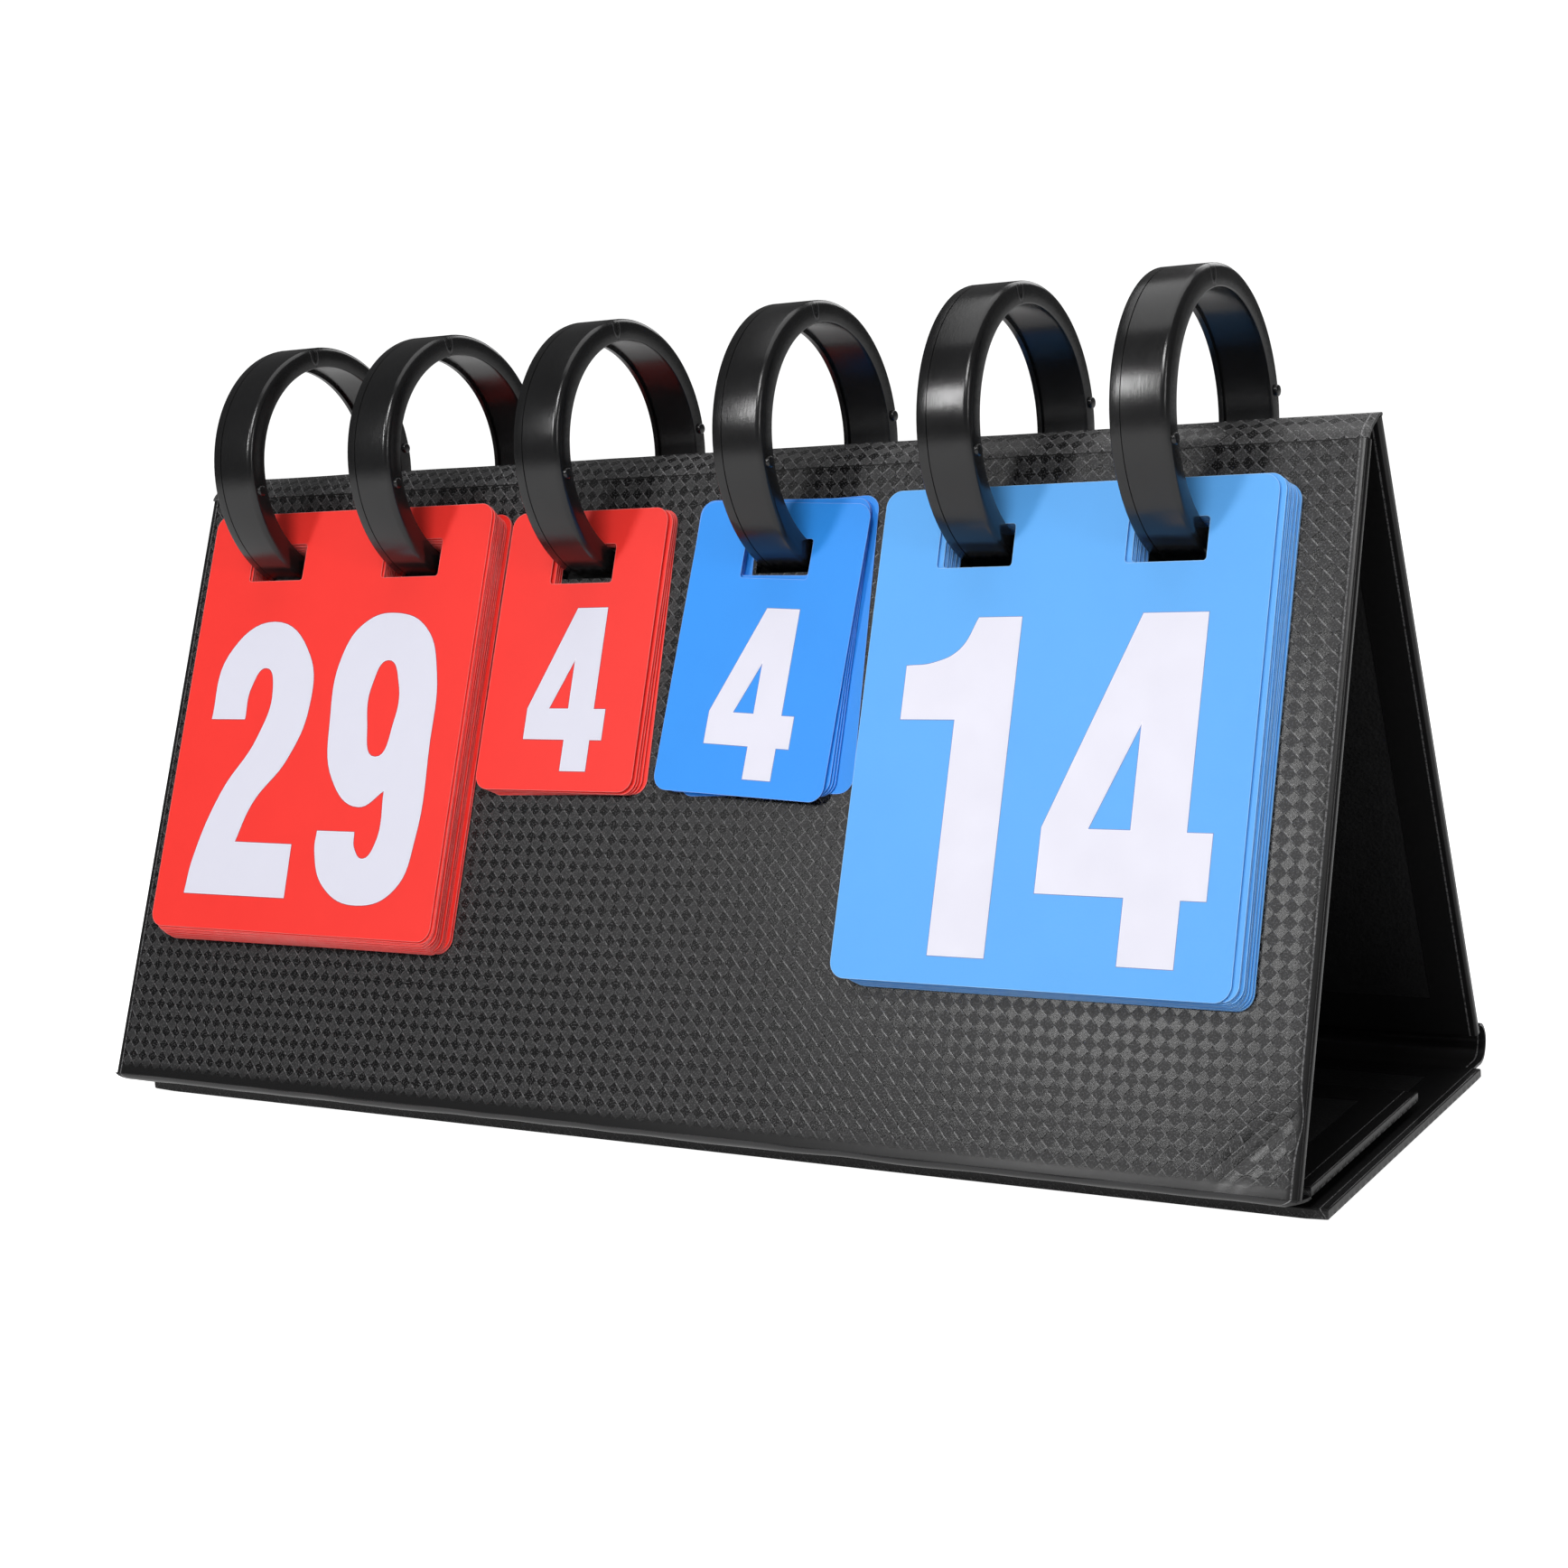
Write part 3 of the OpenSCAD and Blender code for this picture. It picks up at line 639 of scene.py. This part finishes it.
# The tongue of each snap joint shows on the ring's side as a dark U shaped line, with a painted
# highlight as a paler rim round it.
from_axis = place_node(tree, "VectorMath", where, (0, ridge.y, ridge.z), operation="SUBTRACT")
from_axis = place_node(tree, "VectorRotate", from_axis, None, (1, 0, 0), -RING_TURN)
along_band = place_node(tree, "SeparateXYZ", from_axis, out=1)
up_band = math_node(tree, "ABSOLUTE", place_node(tree, "SeparateXYZ", from_axis, out=2))
bow_y = math_node(tree, "MULTIPLY", math_node(tree, "ABSOLUTE", along_band), 1 / TONGUE_HALF_W)
bow_z = math_node(tree, "MULTIPLY", up_band, 1 / TONGUE_L)
bow_z = math_node(tree, "SUBTRACT", bow_z, (RING_R - TONGUE_IN) / TONGUE_L)
bow = math_node(tree, "ADD", math_node(tree, "POWER", bow_y, 2.0),
                math_node(tree, "MULTIPLY", bow_z, bow_z))
bow = math_node(tree, "SQRT", bow)
below = math_node(tree, "LESS_THAN", bow_z, 0.35)
u_line = math_node(tree, "MULTIPLY", math_node(tree, "COMPARE", bow, 1.0, 0.2), below)
u_rim_painted_highlight = math_node(tree, "MULTIPLY", math_node(tree, "COMPARE", bow, 1.5, 0.15), below)
plastic = mix_colour(tree, cloud, (0.006, 0.006, 0.0064), (0.012, 0.012, 0.0125))
# Painted highlight: the paler rim round the U line, where its edge would catch the light.
plastic = mix_colour(tree, u_rim_painted_highlight, plastic, (0.07, 0.07, 0.072))
rough = math_node(tree, "MULTIPLY_ADD", scuff, 0.4, cloud)
rough = place_node(tree, "MapRange", rough, 0.4, 1.0, 0.15, 0.27)
surface = math_node(tree, "MULTIPLY_ADD", scuff, 0.25, cloud)
surface = math_node(tree, "SUBTRACT", surface, math_node(tree, "MULTIPLY", u_line, 1.5))
feed(shader, Base_Color=mix_colour(tree, u_line, plastic, (0.001, 0.001, 0.001)),
     Roughness=math_node(tree, "ADD", u_line, rough), Normal=bump(tree, surface, 0.0001))


def ring_half(first):
    """Half a ring round the origin, from the joint at the angle first: its band and its nub."""
    line = -RING_HALF_W + LINE_IN
    corners = [
        (-RING_HALF_W, RING_INNER), (-RING_HALF_W, RING_R), (line, RING_R),
        (line + LINE_SLOPE, RING_R - LINE_D), (line + LINE_W - LINE_SLOPE, RING_R - LINE_D),
        (line + LINE_W, RING_R), (RING_HALF_W, RING_R), (RING_HALF_W, RING_INNER),
        (RING_HALF_W - RIM_W, RING_INNER), (RING_HALF_W - RIM_W, RING_INNER + HOLLOW),
        (-RING_HALF_W + RIM_W, RING_INNER + HOLLOW), (-RING_HALF_W + RIM_W, RING_INNER),
    ]
    bm = bmesh.new()
    section = [bm.verts.new((u, 0, r)) for u, r in corners]
    bm.faces.new(section)
    right_corner = section[corners.index((RING_HALF_W, RING_R))]
    bmesh.ops.bevel(bm, geom=[right_corner], offset=RIGHT_R, segments=6, profile=0.5,
                    affect="VERTICES", material=-1)
    left_corner = Vector((-RING_HALF_W, 0, RING_R))
    plain = [v for v in bm.verts if (v.co - left_corner).length < 1e-6
             or (abs(abs(v.co.x) - RING_HALF_W) < 1e-6 and abs(v.co.z - RING_INNER) < 1e-6)]
    bmesh.ops.bevel(bm, geom=plain, offset=EDGE_R, segments=3, profile=0.5,
                    affect="VERTICES", material=-1)
    start = Matrix.Rotation(first + RING_TURN + SEAM - math.pi / 2, 3, "X")
    bmesh.ops.rotate(bm, cent=(0, 0, 0), matrix=start, verts=bm.verts)
    bmesh.ops.spin(bm, geom=bm.faces[:] + bm.edges[:] + bm.verts[:], cent=(0, 0, 0),
                   axis=(1, 0, 0), angle=math.pi - 2 * SEAM, steps=56)
    nub_place = (Matrix.Rotation(first + RING_TURN, 4, "X")
                 @ Matrix.Translation((RING_HALF_W + NUB_L / 2 - NUB_ROOT, 0, RING_MID))
                 @ Matrix.Rotation(math.pi / 2, 4, "Y"))
    nub = bmesh.ops.create_cone(bm, cap_ends=True, segments=20, radius1=NUB_R, radius2=NUB_R,
                                depth=NUB_L, matrix=nub_place)["verts"]
    far = [e for e in bm.edges
           if all(v in nub and v.co.x > RING_HALF_W + NUB_L / 2 for v in e.verts)]
    bmesh.ops.bevel(bm, geom=far, offset=EDGE_R, segments=3, profile=0.5,
                    affect="EDGES", material=-1)
    return bm


for number, x in enumerate(ring_x, 1):
    for half_name, first in (("front", math.pi / 2), ("rear", -math.pi / 2)):
        bm = ring_half(first)
        bmesh.ops.translate(bm, vec=(x, ridge.y, ridge.z), verts=bm.verts)
        bmesh.ops.recalc_face_normals(bm, faces=bm.faces)
        shell = new_object(f"ring_{number}_{half_name}_shell", bm, ring_plastic)
        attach(shell, f"ring_{number}")
        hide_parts(f"ring_{number}_{half_name}_half")


# The cards. Thin sheets of white plastic, printed red or blue on both sides and punched after
# that, so that a paler line follows every cut edge. They hang on the rings through slots.
EDGE_LINE = 0.13 * MM


def card_finish(name, face, shade, edge):
    """A printed sheet: ink on the faces and the pale plastic along the cut edges."""
    finish, shader = new_finish(name, Specular_IOR_Level=0.35)
    tree = finish.node_tree
    where = place_node(tree, "TexCoord", out=3)
    cut = place_node(tree, "Attribute", attribute_name="cut_edge", out=2)
    ink = place_node(tree, "TexNoise", where, None, 60.0, 3.0, 0.5)
    fibre = place_node(tree, "TexNoise", where, None, 1500.0, 3.0, 0.6)
    worn = place_node(tree, "TexNoise", where, None, 300.0, 3.0, 0.7)
    worn = place_node(tree, "MapRange", worn, 0.35, 0.6, 0.7, 1.0)
    printed = mix_colour(tree, ink, face, shade)
    bare = math_node(tree, "MULTIPLY", cut, worn)
    feed(shader, Base_Color=mix_colour(tree, bare, printed, edge),
         Roughness=place_node(tree, "MapRange", fibre, 0.3, 0.7, 0.42, 0.5),
         Normal=bump(tree, fibre, 0.00002))
    return finish


def card_body(node):
    """An outermost card moves by itself; the cards behind it stay on their board."""
    if node.endswith("front_cards"):
        return "front_panel"
    return "rear_panel" if node.endswith("back_cards") else node


def dress_cards(node, out, finish):
    """Copies the cards of a node and parts the edge of every printed face from the rest."""
    bm = bmesh.new()
    bm.from_mesh(frame["nodes"][node].data)
    bmesh.ops.remove_doubles(bm, verts=bm.verts, dist=1e-6)
    edge_layer = bm.faces.layers.float.new("cut_edge")
    bm.normal_update()
    printed = [f for f in bm.faces if abs(f.normal.dot(out)) > 0.5]
    for f in bm.faces:
        f[edge_layer] = 1.0
    bmesh.ops.inset_region(bm, faces=printed, thickness=EDGE_LINE, use_boundary=True,
                           use_even_offset=True)
    for f in printed:
        f[edge_layer] = 0.0
    piece = new_object(node + "_sheets", bm, finish)
    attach(piece, card_body(node))
    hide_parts(node)


red_sheet = card_finish("red_sheet", (0.99, 0.038, 0.028), (0.94, 0.032, 0.024), (0.95, 0.2, 0.19))
blue_sheet = card_finish("blue_sheet", (0.112, 0.445, 0.98), (0.104, 0.42, 0.94),
                         (0.3, 0.58, 0.98))
deep_blue_sheet = card_finish("deep_blue_sheet", (0.03, 0.325, 0.98), (0.026, 0.305, 0.94),
                              (0.2, 0.42, 0.98))

for nodes, finish, material_slot in (
    (("red_top_card", "red_back_card", "red_front_cards", "red_games_top_card",
      "red_games_front_cards", "red_games_back_cards"), red_sheet, "card_red"),
    (("blue_top_card", "blue_back_card", "blue_front_cards", "blue_back_cards"),
     blue_sheet, "card_blue"),
    (("blue_games_top_card", "blue_games_front_cards", "blue_games_back_cards"),
     deep_blue_sheet, "games_card_blue"),
):
    for node in nodes:
        dress_cards(node, rear_out if "back" in node else front_out, finish)


# The numbers. Each is printed in a bold narrow face: a white fill inside a thin white line and
# a thin dark one. Sizes are those of the points cards, in mm from a figure's lower left corner.
FIGURES = {  # corners are (x, y), smooth points (x, y, 1)
    "0": [[(20.5, 90, 1), (36, 82, 1), (41, 60, 1), (41, 30, 1), (36, 7, 1), (20.5, -1, 1),
           (5, 7, 1), (0, 30, 1), (0, 60, 1), (5, 82, 1)],
          [(20.5, 76, 1), (26, 62, 1), (26, 28, 1), (20.5, 13, 1), (15, 28, 1), (15, 62, 1)]],
    "1": [[(16.5, 0), (16.5, 62.5), (0, 62.5), (0, 77), (8, 77.8, 1), (15.6, 81.4, 1), (20.3, 90),
           (33, 90), (33, 0)]],
    "2": [[(0, 0), (1.2, 10.5, 1), (8.8, 32, 1), (20.6, 50, 1), (23.9, 65, 1), (19.6, 72.2, 1),
           (14.4, 66, 1), (13.8, 55.7), (-0.5, 55.7), (2.2, 76.2, 1), (20, 87, 1), (37.2, 76, 1),
           (40.3, 59.5, 1), (34.6, 43.2, 1), (22.8, 28.8, 1), (18.1, 16.6), (42.1, 16.5),
           (42.5, 0)]],
    "3": [[(1, 62), (2.4, 77, 1), (20, 90, 1), (37, 79, 1), (38, 60, 1), (31, 46.5, 1),
           (40, 34, 1), (40.6, 18, 1), (34, 4, 1), (20.5, -1, 1), (6, 5, 1), (0.6, 18, 1),
           (0.5, 28), (15, 28), (16, 17, 1), (20.5, 13, 1), (25.8, 20, 1), (25.4, 33, 1),
           (19, 39), (14, 39), (14, 52), (18.6, 52), (24.6, 59, 1), (24, 71, 1), (20, 76.5, 1),
           (16, 71, 1), (15.5, 62)]],
    "4": [[(0, 17.4), (0, 34.4), (22.3, 90.4), (40.2, 90.4), (40.2, 34), (47.2, 34), (47.2, 17.2),
           (40.2, 17.2), (40.2, 0), (25, 0), (25, 17.3)],
          [(13, 34.2), (25, 62), (25, 34.2)]],
    "5": [[(4, 90), (38, 90), (38, 74), (17, 74), (16, 56), (25, 60, 1), (38, 50, 1), (41, 30, 1),
           (35, 6, 1), (20, -1, 1), (5, 7, 1), (0.5, 22, 1), (0.5, 28), (15, 28), (16, 17, 1),
           (20.5, 13, 1), (26, 22, 1), (25.4, 38, 1), (20.5, 46, 1), (16, 41), (2, 41)]],
    "8": [[(20.5, 90, 1), (36, 82, 1), (39, 66, 1), (32.5, 47.5, 1), (40.5, 28, 1), (36, 6, 1),
           (20.5, -1, 1), (5, 6, 1), (0.5, 28, 1), (8.5, 47.5, 1), (2, 66, 1), (5, 82, 1)],
          [(20.5, 76, 1), (25.4, 66, 1), (20.5, 54, 1), (15.6, 66, 1)],
          [(20.5, 40.5, 1), (26, 27, 1), (20.5, 13, 1), (15, 27, 1)]],
    "9": [[(2, 21), (17, 21), (18, 16, 1), (22, 13, 1), (26, 17.5, 1), (26.4, 34), (17, 28.8, 1),
           (4.8, 37, 1), (0, 56, 1), (1, 76, 1), (8, 86, 1), (20.5, 89, 1), (33.4, 84, 1),
           (40, 70, 1), (41.4, 48, 1), (41.4, 20, 1), (36.5, 4.5, 1), (22.5, -1, 1), (8, 4, 1),
           (2.2, 15, 1)],
          [(20, 74.4, 1), (25.7, 67, 1), (26, 55, 1), (20.7, 44.2, 1), (15.2, 55, 1),
           (15, 67, 1)]],
}
FIGURE_GROWTH = (0.26, 0.08, -0.14)  # mm: a dark outline, a white one inside it, and the fill
INK_STEP = 0.03 * MM


def print_ink(name, tone):
    """A printing ink that is slightly uneven."""
    finish, shader = new_finish(name, Specular_IOR_Level=0.4)
    tree = finish.node_tree
    where = place_node(tree, "TexCoord", out=3)
    cloud = place_node(tree, "TexNoise", where, None, 90.0, 3.0, 0.5)
    feed(shader, Base_Color=mix_colour(tree, cloud, tone, tuple(0.97 * c for c in tone)),
         Roughness=place_node(tree, "MapRange", cloud, 0.3, 0.7, 0.4, 0.5))
    return finish


inks = {
    "red": [print_ink("figure_line_on_red", (0.45, 0.06, 0.1)),
            print_ink("figure_edge", (0.85, 0.85, 0.95)),
            print_ink("figure_white", (0.77, 0.77, 0.88))],
    "blue": [print_ink("figure_line_on_blue", (0.2, 0.27, 0.62)),
             print_ink("figure_edge_blue", (0.9, 0.89, 0.98)),
             print_ink("figure_pale", (0.83, 0.82, 0.93))],
}


def card_centre(node, across, up, out):
    """The middle of the face of a node's outermost card, in the row frame."""
    points = [v.co for v in frame["nodes"][node].data.vertices]
    height = max(p.dot(out) for p in points)
    face = [p for p in points if height - p.dot(out) < 0.02 * MM]
    reach = [(min(values) + max(values)) / 2 for values in
             ([p.dot(across) for p in face], [p.dot(up) for p in face])]
    return reach[0] * across + reach[1] * up + height * out


def draw_figure(figure, start, baseline, scale, grow):
    """One figure as a flat filled curve, with its outline moved outwards by grow."""
    curve = bpy.data.curves.new("figure", "CURVE")
    curve.dimensions = "2D"
    curve.fill_mode = "FRONT"
    curve.resolution_u = 8
    curve.offset = grow
    for outline in FIGURES[figure]:
        spline = curve.splines.new("BEZIER")
        spline.bezier_points.add(len(outline) - 1)
        spline.use_cyclic_u = True
        for point, (px, py, *smooth) in zip(spline.bezier_points, outline):
            point.co = ((start + px * scale[0]) * MM, (baseline + py * scale[1]) * MM, 0)
            kind = "AUTO" if smooth else "VECTOR"
            point.handle_left_type = point.handle_right_type = kind
    return curve


def print_number(text, node, lefts, baseline, scale, turn=0.0):
    """Prints figures on a card as three thin layers of ink.

    lefts and baseline place the figures' lower left corners, in mm from the card's middle.
    """
    hidden = node.endswith("back_card")
    up, out = (rear_up, -rear_out) if hidden else (front_up, front_out)
    place = board_frame(card_centre(node, right, up, out), right, up)
    joined = bmesh.new()
    for layer, grow in enumerate(FIGURE_GROWTH):
        for figure, at in zip(text, lefts):
            curve = draw_figure(figure, at, baseline, scale, grow * MM)
            holder = bpy.data.objects.new("figure", curve)
            bpy.context.scene.collection.objects.link(holder)
            bpy.context.view_layer.update()
            drawn = holder.evaluated_get(bpy.context.evaluated_depsgraph_get()).to_mesh()
            before = set(joined.faces)
            joined.from_mesh(drawn)
            fresh = [f for f in joined.faces if f not in before]
            for f in fresh:
                f.material_index = layer
            bmesh.ops.translate(joined, vec=(0, 0, INK_STEP * (layer + 1)),
                                verts=list({v for f in fresh for v in f.verts}))
            bpy.data.objects.remove(holder)
    for f in joined.faces:
        if f.normal.z < 0:
            f.normal_flip()
    bmesh.ops.transform(joined, matrix=place @ Matrix.Rotation(turn, 4, "Z"), verts=joined.verts)
    first_ink, *other_inks = inks["red" if node.startswith("red") else "blue"]
    piece = new_object(node + "_number_" + text, joined, first_ink)
    for ink in other_inks:
        piece.data.materials.append(ink)
    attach(piece, card_body(node))


RED_SIZE = (0.975, 0.996)
BLUE_SIZE = (0.98, 0.995)
SMALL = (0.59, 0.535)
for number in (
    ("29", "red_top_card", (-43.8, 4.9), -55.7, RED_SIZE),
    ("28", "red_front_cards", (-43.8, 4.9), -55.7, RED_SIZE),
    ("14", "blue_top_card", (-43.6, 1.1), -59, BLUE_SIZE),
    ("13", "blue_front_cards", (-43, 3), -59, BLUE_SIZE),
    ("4", "red_games_top_card", (-12.5,), -36.1, SMALL),
    ("3", "red_games_front_cards", (-12,), -36.2, SMALL),
    ("4", "blue_games_top_card", (-13.2,), -37.1, SMALL, math.radians(-3)),
    ("3", "blue_games_front_cards", (-12,), -37.1, SMALL, math.radians(-1.5)),
    ("30", "red_back_card", (-43.8, 4.9), -55.7, RED_SIZE),
    ("15", "blue_back_card", (-43, 3), -59, BLUE_SIZE),
):
    print_number(*number)


# The studio. A white floor and room, as the camera sees them. A lamp above the front lights the
# model, narrow soft boxes at both sides mirror in the rings, and a ceiling and a lamp behind fill.
GLOSS_SHARE = 0.32  # how much of the white floor shows in what mirrors it


def white_to_camera(tree, shader_out, brightness, in_gloss=False):
    """Adds light to a shader for camera rays, so that white stays white, and for gloss."""
    rays = tree.nodes.new("ShaderNodeLightPath").outputs
    seen = rays["Is Camera Ray"]
    if in_gloss:
        mirrored = math_node(tree, "MULTIPLY", rays["Is Glossy Ray"], GLOSS_SHARE)
        seen = math_node(tree, "MAXIMUM", seen, mirrored)
    glow = place_node(tree, "Emission", (1, 1, 1, 1), brightness)
    both = place_node(tree, "AddShader", shader_out, glow)
    return place_node(tree, "MixShader", seen, shader_out, both)


floor_mesh = bmesh.new()
bmesh.ops.create_grid(floor_mesh, x_segments=2, y_segments=2, size=6.0)
studio_white, shader = new_finish("studio_white", Base_Color=(0.8, 0.8, 0.8, 1), Roughness=0.9)
tree = studio_white.node_tree
white = white_to_camera(tree, shader.outputs[0], 0.97, in_gloss=True)
tree.links.new(white, tree.nodes["Material Output"].inputs[0])
floor = new_object("floor", floor_mesh, studio_white)
floor.location.z = -0.2 * MM

world = bpy.data.worlds.new("pale_room")
bpy.context.scene.world = world
world.use_nodes = True
tree = world.node_tree
room_light = tree.nodes["Background"]
room_light.inputs[0].default_value = (1, 1, 1, 1)
room_light.inputs[1].default_value = 0.1
white = white_to_camera(tree, room_light.outputs[0], 1.0)
tree.links.new(white, tree.nodes["World Output"].inputs[0])


def soft_lamp(name, azimuth, elevation, distance, size, power):
    """A lamp of size (wide, high), placed by its direction; azimuth 0 is straight in front."""
    lamp = bpy.data.lights.new(name, "AREA")
    lamp.shape = "RECTANGLE"
    lamp.size, lamp.size_y = size
    lamp.energy = power
    holder = bpy.data.objects.new(name, lamp)
    bpy.context.scene.collection.objects.link(holder)
    a, e = math.radians(azimuth), math.radians(elevation)
    way = Vector((math.sin(a) * math.cos(e), -math.cos(a) * math.cos(e), math.sin(e)))
    holder.location = Vector((0, 0, 0.1)) + distance * way
    holder.rotation_euler = (-way).to_track_quat("-Z", "Y").to_euler()


soft_lamp("key_lamp", 10, 47, 2.2, (0.6, 0.6), 19.5)
soft_lamp("left_soft_box", -22.5, 29, 1.8, (0.2, 0.4), 8.5)
soft_lamp("right_soft_box", 60, 22, 1.8, (0.25, 0.6), 3.5)
soft_lamp("ceiling", 180, 82, 1.8, (1.6, 1.75), 12)
soft_lamp("back_fill", 180, 30, 2.4, (1.2, 1.0), 8)

PHOTO_YAW = math.radians(32.38)
PHOTO_PITCH = math.radians(9.42)
PHOTO_ROLL = math.radians(-4.70)
camera_data = bpy.data.cameras.new("camera")
camera_data.lens = 58.81
camera_data.sensor_width = 36
camera = bpy.data.objects.new("camera", camera_data)
bpy.context.scene.collection.objects.link(camera)
camera.matrix_world = (
    Matrix.Translation((0.4019, -0.6145, 0.2115))
    @ Matrix.Rotation(PHOTO_YAW, 4, "Z")
    @ Matrix.Rotation(math.pi / 2 - PHOTO_PITCH, 4, "X")
    @ Matrix.Rotation(PHOTO_ROLL, 4, "Z")
)
bpy.context.scene.camera = camera
bpy.context.scene.view_settings.view_transform = "Standard"
